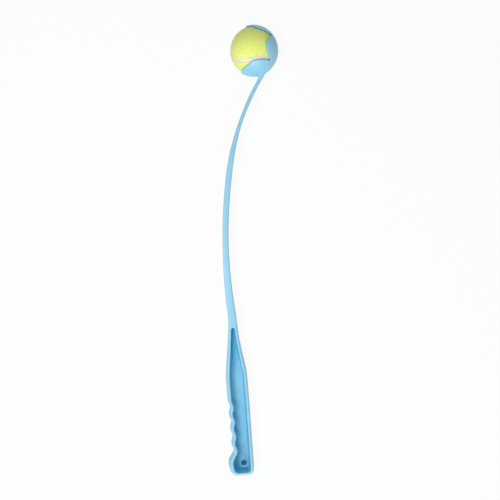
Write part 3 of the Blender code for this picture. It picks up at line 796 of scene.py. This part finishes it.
jaw_sides = [middle + side * half for middle, half, is_jaw in PETALS if is_jaw for side in (-1, 1)]
through = CUP_INNER_RADIUS - CUT_OVERRUN, CUP_OUTER_RADIUS + CUT_OVERRUN
slit_pins = [
    steel_pin("slit_pin", Vector(), cup_direction(SLIT_END_DEG, around_deg), SLIT_END_RADIUS, through)
    for around_deg in jaw_sides
]
print("pins for", len(slit_pins), "slits")

# %% [markdown]
# Now the shapes become one moulding. Boolean steps join the stick to the cup and take out the hollow and
# the hole. Bevels would fail on such irregular edges. So a voxel remesh pours the result anew in
# half-millimetre grains, a light smoothing melts every seam and rim into the small fillets of moulded
# plastic, and most of the grains on flat places are thinned out again.

# %% Pour the moulding in one piece
VOXEL = 0.55 * MM
SMOOTHING_SHARE = 0.5
SMOOTHING_PASSES = 6
KEPT_FACES = 170000
SPHERE_STEPS = 96
CUTTER_WALL_SHARE = 0.5


def ball_space():
    """Clears the wand's buried end out of the cup, to the middle of the cup's wall."""
    shaped = bmesh.new()
    radius = CUP_INNER_RADIUS + CUP_WALL * CUTTER_WALL_SHARE
    bmesh.ops.create_uvsphere(shaped, u_segments=SPHERE_STEPS, v_segments=SPHERE_STEPS // 2, radius=radius)
    mesh = bpy.data.meshes.new("ball_space")
    shaped.to_mesh(mesh)
    shaped.free()
    return add_object("ball_space", mesh)


def boolean(target, tool, operation):
    step = target.modifiers.new(tool.name, "BOOLEAN")
    step.operation = operation
    step.solver = "EXACT"
    step.object = tool


def modified_mesh(made):
    """A new smooth mesh with the object's modifiers carried out."""
    bpy.context.view_layer.update()
    mesh = bpy.data.meshes.new_from_object(made.evaluated_get(bpy.context.evaluated_depsgraph_get()))
    mesh.shade_smooth()
    return mesh


def settled(guide, name):
    """The finished piece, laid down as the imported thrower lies. Its guide is cleared away."""
    mesh = modified_mesh(guide)
    mesh.name = name
    mesh.transform(LAY)
    bpy.data.objects.remove(guide)
    return add_object(name, mesh)


inner_ball = ball_space()
boolean(stick, inner_ball, "DIFFERENCE")
boolean(moulding, stick, "UNION")
boolean(moulding, mould_core, "DIFFERENCE")
for pin in [hole_pin] + slit_pins:
    boolean(moulding, pin, "DIFFERENCE")
pour = moulding.modifiers.new("pour", "REMESH")
pour.mode = "VOXEL"
pour.voxel_size = VOXEL
soften = moulding.modifiers.new("soften", "SMOOTH")
soften.factor = SMOOTHING_SHARE
soften.iterations = SMOOTHING_PASSES
thrower = settled(moulding, "thrower_moulding")
print("poured with", len(thrower.data.polygons), "faces")

# %% Thin the moulding and clear the guides
def triangle_count(mesh):
    return sum(len(face.vertices) - 2 for face in mesh.polygons)


def thinned(piece, kept):
    """Fewer triangles where the surface is flat."""
    step = piece.modifiers.new("thin", "DECIMATE")
    step.ratio = min(1.0, kept / triangle_count(piece.data))
    mesh = modified_mesh(piece)
    piece.modifiers.clear()
    piece.data = mesh


for guide in [stick, mould_core, hole_pin, inner_ball] + slit_pins:
    bpy.data.objects.remove(guide)
thinned(thrower, KEPT_FACES)
print("kept", len(thrower.data.polygons), "faces")

# %% [markdown]
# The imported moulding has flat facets, which run a hair inside its true curves, so a few points of this
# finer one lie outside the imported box. Scaling would move every wall, so only those points are set back.

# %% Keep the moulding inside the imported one's box
furthest = 0.0
for corner in thrower.data.vertices:
    held = Vector(min(max(c, low), high) for c, low, high in zip(corner.co, cad_low, cad_high))
    furthest = max(furthest, (corner.co - held).length)
    corner.co = held
print("points of the moulding moved by", round(furthest / MM, 3), "mm at most")

# %% [markdown]
# The ball is covered with two pieces of felt, each the shape of a dog bone, and the seam between them
# winds once round the ball. One closed curve describes it. The felt's edge is found by stepping sideways
# from that curve, and the whole ball is turned until the seam crosses it as in the photograph.

# %% The seam's curve
SEAM_WAVE_SHARE = 0.22
SEAM_STEADY_SHARE = 1 - SEAM_WAVE_SHARE
SEAM_WIDTH = 4.6 * MM
FELT_THICKNESS = 2.7 * MM
FELT_PRESS = 0.5 * MM
FIT_GAP = 0.3 * MM
BALL_TURN_DEG = (-131.0, 45.0, 62.0)
BALL_TURN = Euler([math.radians(a) for a in BALL_TURN_DEG]).to_matrix()


def seam_point(turn):
    """The seam's closed curve on a unit ball."""
    return Vector((
        SEAM_STEADY_SHARE * math.cos(turn) + SEAM_WAVE_SHARE * math.cos(3 * turn),
        SEAM_STEADY_SHARE * math.sin(turn) - SEAM_WAVE_SHARE * math.sin(3 * turn),
        2 * math.sqrt(SEAM_STEADY_SHARE * SEAM_WAVE_SHARE) * math.sin(2 * turn),
    ))


def seam_along(turn):
    """The seam's direction of travel."""
    return Vector((
        -SEAM_STEADY_SHARE * math.sin(turn) - 3 * SEAM_WAVE_SHARE * math.sin(3 * turn),
        SEAM_STEADY_SHARE * math.cos(turn) - 3 * SEAM_WAVE_SHARE * math.cos(3 * turn),
        4 * math.sqrt(SEAM_STEADY_SHARE * SEAM_WAVE_SHARE) * math.cos(2 * turn),
    )).normalized()


def beside_seam(turn, reach):
    """Unit vector beside the seam, a reach away on the ball."""
    sideways = seam_point(turn).cross(seam_along(turn)).normalized()
    angle = reach / BALL_RADIUS
    return seam_point(turn) * math.cos(angle) + sideways * math.sin(angle)


def pressed(point, clearance=0.0):
    """Holds a point back where the nap lies flattened on the ground."""
    below = point.dot(GROUND) - (BALL_RADIUS - FELT_PRESS - clearance)
    return point - GROUND * below if below > 0 else point


SEAM_SAMPLES = 720
seam_tree = kdtree.KDTree(SEAM_SAMPLES)
for sample in range(SEAM_SAMPLES):
    seam_tree.insert(BALL_TURN @ seam_point(2 * math.pi * sample / SEAM_SAMPLES), sample)
seam_tree.balance()
print("the seam is sampled at", SEAM_SAMPLES, "places")

# %% [markdown]
# Felt isn't smooth: wool fibres stand up in small clumps, and the cut edge of each panel rolls down into
# the seam. The panel is a fine sheet whose points rise and fall with two sizes of noise, and sink where
# the nearest piece of seam is close.

# %% Felt panels
PANEL_ROWS = 210
PANEL_COLUMNS = 84
EDGE_ROLL = 1.1 * MM
EDGE_DROP = 0.75 * MM
CLUMP_SIZE = 1.6 * MM
CLUMP_HEIGHT = 0.07 * MM
FIBRE_SIZE = 0.55 * MM
FIBRE_HEIGHT = 0.05 * MM


def felt_height(direction):
    """How far the felt's surface stands below the full ball."""
    place = direction * BALL_RADIUS
    clumps = noise.noise(place / CLUMP_SIZE) * CLUMP_HEIGHT
    fibres = noise.noise(place / FIBRE_SIZE) * FIBRE_HEIGHT
    from_seam = seam_tree.find(direction)[2] * BALL_RADIUS - SEAM_WIDTH / 2
    roll = corner_drop(1 - from_seam / EDGE_ROLL) * EDGE_DROP
    return clumps + fibres - CLUMP_HEIGHT - FIBRE_HEIGHT - roll


def felt_panel(name, half_turn):
    """One dog-bone panel. Its rows run between points of its edge that mirror each other."""
    reach = SEAM_WIDTH / 2 + FIT_GAP / 2
    start, end = -math.pi / 4, math.pi * 3 / 4
    turned = BALL_TURN @ Matrix.Rotation(half_turn, 3, "X")
    directions = [beside_seam(start, reach)]
    rows = [[0] * (PANEL_COLUMNS + 1)]
    for i in range(1, PANEL_ROWS):
        turn = start + (end - start) * i / PANEL_ROWS
        left, right = beside_seam(turn, reach), beside_seam(start * 2 - turn, reach)
        rows.append([len(directions) + j for j in range(PANEL_COLUMNS + 1)])
        directions += [left.slerp(right, j / PANEL_COLUMNS) for j in range(PANEL_COLUMNS + 1)]
    rows.append([len(directions)] * (PANEL_COLUMNS + 1))
    directions.append(beside_seam(end, reach))
    directions = [turned @ d for d in directions]
    outer = [pressed(d * (BALL_RADIUS + felt_height(d))) for d in directions]
    inner = [d * (BALL_RADIUS - FELT_THICKNESS) for d in directions]
    return settled(walled_sheet(name + "_guide", outer, inner, strip_faces(rows)), name)


panels = [felt_panel("felt_panel_a", 0.0), felt_panel("felt_panel_b", math.pi)]
print("each felt panel has", len(panels[0].data.polygons), "faces")

# %% [markdown]
# The seam is a flat ribbon of pale rubber cement that was brushed on and cured, so it sits a little lower
# than the felt, slightly hollow in the middle and not quite even along its length.

# %% Seam ribbon
SEAM_STEPS = 480
SEAM_SINK = 0.4 * MM
SEAM_HOLLOW = 0.25 * MM
SEAM_WANDER = 0.06 * MM
RIBBON_SHARES = (-1.0, -0.8, -0.5, -0.2, 0.2, 0.5, 0.8, 1.0)


def make_seam():
    half = SEAM_WIDTH / 2
    low = BALL_RADIUS - FELT_THICKNESS
    points = []
    for i in range(SEAM_STEPS):
        turn = 2 * math.pi * i / SEAM_STEPS
        points += [BALL_TURN @ beside_seam(turn, side * half) * low for side in (1, -1)]
        for share in RIBBON_SHARES:
            direction = BALL_TURN @ beside_seam(turn, share * half)
            wander = noise.noise(direction * BALL_RADIUS / CLUMP_SIZE) * SEAM_WANDER
            high = BALL_RADIUS - SEAM_SINK - SEAM_HOLLOW * (1 - share**2) + wander
            points.append(pressed(direction * high))
    count = len(RIBBON_SHARES) + 2
    rows = [[i % SEAM_STEPS * count + j % count for j in range(count + 1)] for i in range(SEAM_STEPS + 1)]
    return settled(meshed("seam_guide", points, strip_faces(rows)), "seam_ribbon")


seam_ribbon = make_seam()
print("the seam ribbon has", len(seam_ribbon.data.polygons), "faces")

# %% [markdown]
# Close up, and against the light, a tennis ball has a soft halo: single wool fibres that escape from the
# felt. Blender's hair would be quicker, but it isn't a mesh, so each fibre is a thin bent spike of three
# sides. They lean every way, keep off the seam, lie down where the ball touches the ground, and are left
# out where the cup's petals press them flat.

# %% Loose fibres
FIBRE_COUNT = 11000
FIBRE_SEED = 66
FIBRE_SIDES = 3
FIBRE_ROOT_DEPTH = 0.5 * MM
FIBRE_THICK = 0.075 * MM
FIBRE_LENGTHS = (0.9 * MM, 1.7 * MM)
FIBRE_LEAN = 1.3
FIBRE_CURL = 0.7
PETAL_NEAR = 3.0 * MM
FIBRE_CLEARANCE = 0.15 * MM
FIBRE_TAPER = (1.0, 0.75, 0.3)


def random_direction(draw):
    height = draw.uniform(-1, 1)
    turn = draw.uniform(0, 2 * math.pi)
    width = math.sqrt(1 - height * height)
    return Vector((width * math.cos(turn), width * math.sin(turn), height))


def fibre_points(root, outward, draw):
    """Three places along one fibre, leaning and curling at random."""
    lean = outward.cross(random_direction(draw)).normalized() * FIBRE_LEAN * draw.random()
    curl = outward.cross(random_direction(draw)).normalized() * FIBRE_CURL
    step = draw.uniform(*FIBRE_LENGTHS) / (len(FIBRE_TAPER) - 1)
    first = root + (outward + lean).normalized() * step
    return [root, first, first + (outward + lean + curl).normalized() * step]


def add_fibre(places, outward, points, faces):
    """Adds one spike through its places to the lists of points and faces."""
    first = len(points)
    across = outward.orthogonal().normalized() * FIBRE_THICK / 2
    turns = [Matrix.Rotation(2 * math.pi * i / FIBRE_SIDES, 3, outward) for i in range(FIBRE_SIDES)]
    for place, taper in zip(places, FIBRE_TAPER):
        points += [place + turn @ across * taper for turn in turns]
    faces += tube_faces(first, FIBRE_SIDES, len(FIBRE_TAPER))


def make_fibres():
    draw = random.Random(FIBRE_SEED)
    petals = BVHTree.FromObject(thrower, bpy.context.evaluated_depsgraph_get())
    points, faces = [], []
    while len(points) < FIBRE_COUNT * FIBRE_SIDES * len(FIBRE_TAPER):
        outward = random_direction(draw)
        if seam_tree.find(outward)[2] * BALL_RADIUS < SEAM_WIDTH / 2 + EDGE_ROLL / 2:
            continue
        root = outward * (BALL_RADIUS - FIBRE_ROOT_DEPTH)
        if petals.ray_cast(LAY @ root, LAY.to_3x3() @ outward, PETAL_NEAR)[0]:
            continue
        places = [pressed(p, FIBRE_CLEARANCE) for p in fibre_points(root, outward, draw)]
        add_fibre(places, outward, points, faces)
    mesh = bpy.data.meshes.new("felt_fibres")
    mesh.from_pydata([tuple(p) for p in points], [], faces)
    mesh.transform(LAY)
    mesh.shade_smooth()
    return add_object("felt_fibres", mesh)


felt_fibres = make_fibres()
print("the fibres have", triangle_count(felt_fibres.data), "triangles")

# %% [markdown]
# Moulded plastic is never one flat colour or one gloss. The steel of the mould was etched, which leaves a
# grain too fine to see but soft enough to blur reflections, and the plastic flowed in, which leaves faint
# clouds. Plastic, seam and core all need that grain, so it is one node group with its own sizes.

# %% A node group for moulded grain
def new_group(name, inputs, outputs):
    """An empty shader node group, its inputs as results, and its outputs to feed."""
    group = bpy.data.node_groups.new(name, "ShaderNodeTree")
    for title, value in inputs.items():
        socket = group.interface.new_socket(name=title, in_out="INPUT", socket_type="NodeSocketFloat")
        socket.default_value = value
    for title, kind in outputs.items():
        group.interface.new_socket(name=title, in_out="OUTPUT", socket_type=kind)
    return group, group.nodes.new("NodeGroupInput").outputs, group.nodes.new("NodeGroupOutput").inputs


def speckles(group, scale, detail):
    """Soft random spots, fixed to the object."""
    made = fed_node(group, "ShaderNodeTexNoise", Vector=object_place(group), Scale=scale, Detail=detail)
    return made.outputs["Fac"]


GRAIN_DETAIL = 3.0
CLOUD_DETAIL = 4.0
CLOUD_RANGE = (0.3, 0.7)

grain_group, grain_in, grain_out = new_group(
    "moulded_grain",
    {"Grain Scale": 900.0, "Cloud Scale": 25.0, "Cloud Low": 0.9, "Cloud High": 1.1},
    {"Height": "NodeSocketFloat", "Clouds": "NodeSocketFloat"},
)
clouds = speckles(grain_group, grain_in["Cloud Scale"], CLOUD_DETAIL)
clouds = ramp(grain_group, clouds, *CLOUD_RANGE, grain_in["Cloud Low"], grain_in["Cloud High"])
feed(grain_group, grain_out["Height"], speckles(grain_group, grain_in["Grain Scale"], GRAIN_DETAIL))
feed(grain_group, grain_out["Clouds"], clouds)
print("group", grain_group.name, "has", len(grain_group.nodes), "nodes")

# %% Shared steps of a material
def placed_group(tree, group, **values):
    """The results of a group that is placed in a material with its own values."""
    node = tree.nodes.new("ShaderNodeGroup")
    node.node_tree = group
    for title, value in values.items():
        feed(tree, node.inputs[title.replace("_", " ")], value)
    return node.outputs


def shaded_color(tree, shader, color, factor):
    """Multiplies a colour by a factor that changes over the surface."""
    node = tree.nodes.new("ShaderNodeVectorMath")
    node.operation = "SCALE"
    feed(tree, node.inputs[0], color)
    feed(tree, node.inputs["Scale"], factor)
    feed(tree, shader.inputs["Base Color"], node.outputs[0])


def openness(tree, reach, sheltered_range, lowest):
    """A painted-shade factor: from lowest, where other surfaces within reach close the surface in, to 1 where
    it lies open.
    """
    shelter = fed_node(tree, "ShaderNodeAmbientOcclusion", Distance=reach)
    return ramp(tree, shelter.outputs["AO"], *sheltered_range, lowest)


def bumped(tree, shader, height, distance, strength=1.0):
    node = fed_node(tree, "ShaderNodeBump", Height=height, Distance=distance, Strength=strength)
    feed(tree, shader.inputs["Normal"], node.outputs[0])


print("material helpers ready")

# %% [markdown]
# The thrower's plastic is a light sky blue with a satin shine. The two halves of the mould meet in the
# middle of its thickness, and leave a hairline ridge there all the way round. The height above that plane
# is measured in the thrower's own frame, so a Mapping node first turns the coordinates back by the angle
# at which the thrower lies. In the channel the blue is painted darker and deeper: painted shade, for the
# light that bounces between blue walls there. Many bounces would be slow, so the Ambient Occlusion node
# finds the hollows instead.

# %% Blue plastic
PLASTIC_COLOR = (0.26, 0.58, 0.77)
# The darker, deeper blue painted into the channel's hollows as shade.
PLASTIC_PAINTED_SHADE = (0.01, 0.41, 0.62)
PLASTIC_SPECULAR = 0.5
SHELTER_REACH = 22 * MM
SHELTER_RANGE = (0.25, 0.57)
PLASTIC_GLOSS = 0.36
PARTING_HALF = 0.16 * MM
PARTING_HEIGHT = 0.08 * MM
GRAIN_HEIGHT = 0.012 * MM


def parting_ridge(tree):
    """1 on the mould's parting plane and 0 a hair away from it."""
    back = LAY.inverted()
    upright = fed_node(
        tree, "ShaderNodeMapping",
        Vector=object_place(tree), Location=back.to_translation(), Rotation=back.to_euler(),
    )
    split = fed_node(tree, "ShaderNodeSeparateXYZ", Vector=upright.outputs[0])
    ridge = ramp(tree, calculated(tree, "ABSOLUTE", split.outputs["Z"]), 0.0, PARTING_HALF, 1.0, 0.0)
    ridge.node.interpolation_type = "SMOOTHSTEP"
    return ridge


def make_plastic():
    made, tree, shader = new_material("blue_plastic", PLASTIC_COLOR, PLASTIC_GLOSS, PLASTIC_SPECULAR)
    grain = placed_group(
        tree, grain_group, Grain_Scale=700.0, Cloud_Scale=22.0, Cloud_Low=0.965, Cloud_High=1.03
    )
    # Painted shade: where the Ambient Occlusion node finds a hollow, the blue turns darker and deeper.
    is_open = openness(tree, SHELTER_REACH, SHELTER_RANGE, 0.0)
    tint = blend(tree, is_open, (*PLASTIC_PAINTED_SHADE, 1), (*PLASTIC_COLOR, 1))
    shaded_color(tree, shader, tint, grain["Clouds"])
    feed(tree, shader.inputs["Roughness"], calculated(tree, "MULTIPLY", grain["Clouds"], PLASTIC_GLOSS))
    low_grain = calculated(tree, "MULTIPLY", grain["Height"], GRAIN_HEIGHT / PARTING_HEIGHT)
    bumped(tree, shader, calculated(tree, "ADD", parting_ridge(tree), low_grain), PARTING_HEIGHT)
    return made


thrower.data.materials.clear()
thrower.data.materials.append(make_plastic())
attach(thrower, "thrower")
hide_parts("thrower")

# %% [markdown]
# Felt is dyed wool. Its colour follows the height of the tufts: low down between the clumps it is painted
# darker and greener as shade, and on the tips it is paler, with pale dusty patches. It doesn't shine, but
# has a faint bright edge where the fibres catch the light. A picture of felt would blur close up, so noise
# makes the tufts. The panels and the loose fibres share one group for that, so that they can't drift apart.
# Where the petals close the felt in, its colour is darkened too, as painted shade, as in the channel.

# %% A node group for felt
# FELT_SHADED_DEEP is the felt's dye with painted shade, for low down between the clumps.
FELT_SHADED_DEEP = (0.70, 0.80, 0.14, 1)
FELT_TIP = (0.82, 0.90, 0.22, 1)
FELT_DUSTY = (0.86, 0.92, 0.40, 1)
TUFT_DETAIL = 5.0
TUFT_RANGE = (0.32, 0.62)
FADE_DETAIL = 3.0

felt_group, felt_in, felt_out = new_group(
    "wool_felt",
    {"Clump Scale": 420.0, "Fade Scale": 45.0, "Fade": 0.25},
    {"Color": "NodeSocketColor", "Height": "NodeSocketFloat"},
)
tufts = speckles(felt_group, felt_in["Clump Scale"], TUFT_DETAIL)
# Painted shade: the colour turns darker and greener towards the low places of the tufts.
dye_and_clump_shade = blend(felt_group, ramp(felt_group, tufts, *TUFT_RANGE), FELT_SHADED_DEEP, FELT_TIP)
fading = speckles(felt_group, felt_in["Fade Scale"], FADE_DETAIL)
worn = calculated(felt_group, "MULTIPLY", fading, felt_in["Fade"])
feed(felt_group, felt_out["Color"], blend(felt_group, worn, dye_and_clump_shade, FELT_DUSTY))
feed(felt_group, felt_out["Height"], tufts)
print("group", felt_group.name, "has", len(felt_group.nodes), "nodes")

# %% Felt and fibres
FELT_ROUGHNESS = 0.95
FELT_SPECULAR = 0.1
FELT_SHEEN = (0.92, 0.95, 0.75, 1)
SHEEN_ROUGHNESS = 0.5
FELT_BUMP = 0.15 * MM
FELT_BUMP_SHARE = 0.45
FELT_SHELTER_REACH = 4 * MM
FELT_SHELTER_RANGE = (0.22, 0.5)
FELT_SHADE = 0.05
FIBRE_SHADE = 0.7


def make_felt(name, fade, sheen, lowest):
    made, tree, shader = new_material(name, FELT_TIP[:3], FELT_ROUGHNESS, FELT_SPECULAR)
    shader.inputs["Sheen Weight"].default_value = sheen
    shader.inputs["Sheen Roughness"].default_value = SHEEN_ROUGHNESS
    shader.inputs["Sheen Tint"].default_value = FELT_SHEEN
    wool = placed_group(tree, felt_group, Fade=fade)
    shaded_color(tree, shader, wool["Color"], openness(tree, FELT_SHELTER_REACH, FELT_SHELTER_RANGE, lowest))
    bumped(tree, shader, wool["Height"], FELT_BUMP, FELT_BUMP_SHARE)
    return made


panel_felt = make_felt("yellow_felt", fade=0.35, sheen=0.35, lowest=FELT_SHADE)
for panel, node in zip(panels, ("ball_felt_panel_a", "ball_felt_panel_b")):
    panel.data.materials.append(panel_felt)
    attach(panel, "ball")
    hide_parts(node)
felt_fibres.data.materials.append(make_felt("felt_fibre", fade=0.9, sheen=0.1, lowest=FIBRE_SHADE))
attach(felt_fibres, "ball")
print("felt on", [panel.name for panel in panels])

# %% [markdown]
# The cement in the seam is off-white and dull. The two halves of the core under it are black rubber, which
# nobody sees while the ball is whole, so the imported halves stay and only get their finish. Rubber is
# moulded too, so both are made with the grain of the plastic, coarser and with stronger clouds.

# %% Seam rubber and core rubber
SEAM_COLOR = (0.75, 0.74, 0.67)
SEAM_ROUGHNESS = 0.75
SEAM_GRAIN = 0.06 * MM
CORE_COLOR = (0.10, 0.10, 0.10)
CORE_ROUGHNESS = 0.7
CORE_GRAIN = 0.04 * MM
RUBBER_SPECULAR = 0.3
RUBBER_BUMP_SHARE = 0.8


def make_rubber(name, color, roughness, grain_height):
    made, tree, shader = new_material(name, color, roughness, RUBBER_SPECULAR)
    grain = placed_group(
        tree, grain_group, Grain_Scale=500.0, Cloud_Scale=80.0, Cloud_Low=0.9, Cloud_High=1.04
    )
    shaded_color(tree, shader, color, grain["Clouds"])
    bumped(tree, shader, grain["Height"], grain_height, RUBBER_BUMP_SHARE)
    return made


seam_ribbon.data.materials.append(make_rubber("seam_rubber", SEAM_COLOR, SEAM_ROUGHNESS, SEAM_GRAIN))
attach(seam_ribbon, "ball")
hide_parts("ball_seam")
core_rubber = make_rubber("core_rubber", CORE_COLOR, CORE_ROUGHNESS, CORE_GRAIN)
for node in ("ball_core_half_a", "ball_core_half_b"):
    core = frame["nodes"][node]
    core.data.materials.clear()
    core.data.materials.append(core_rubber)
print("rubber on the seam and on both halves of the core")
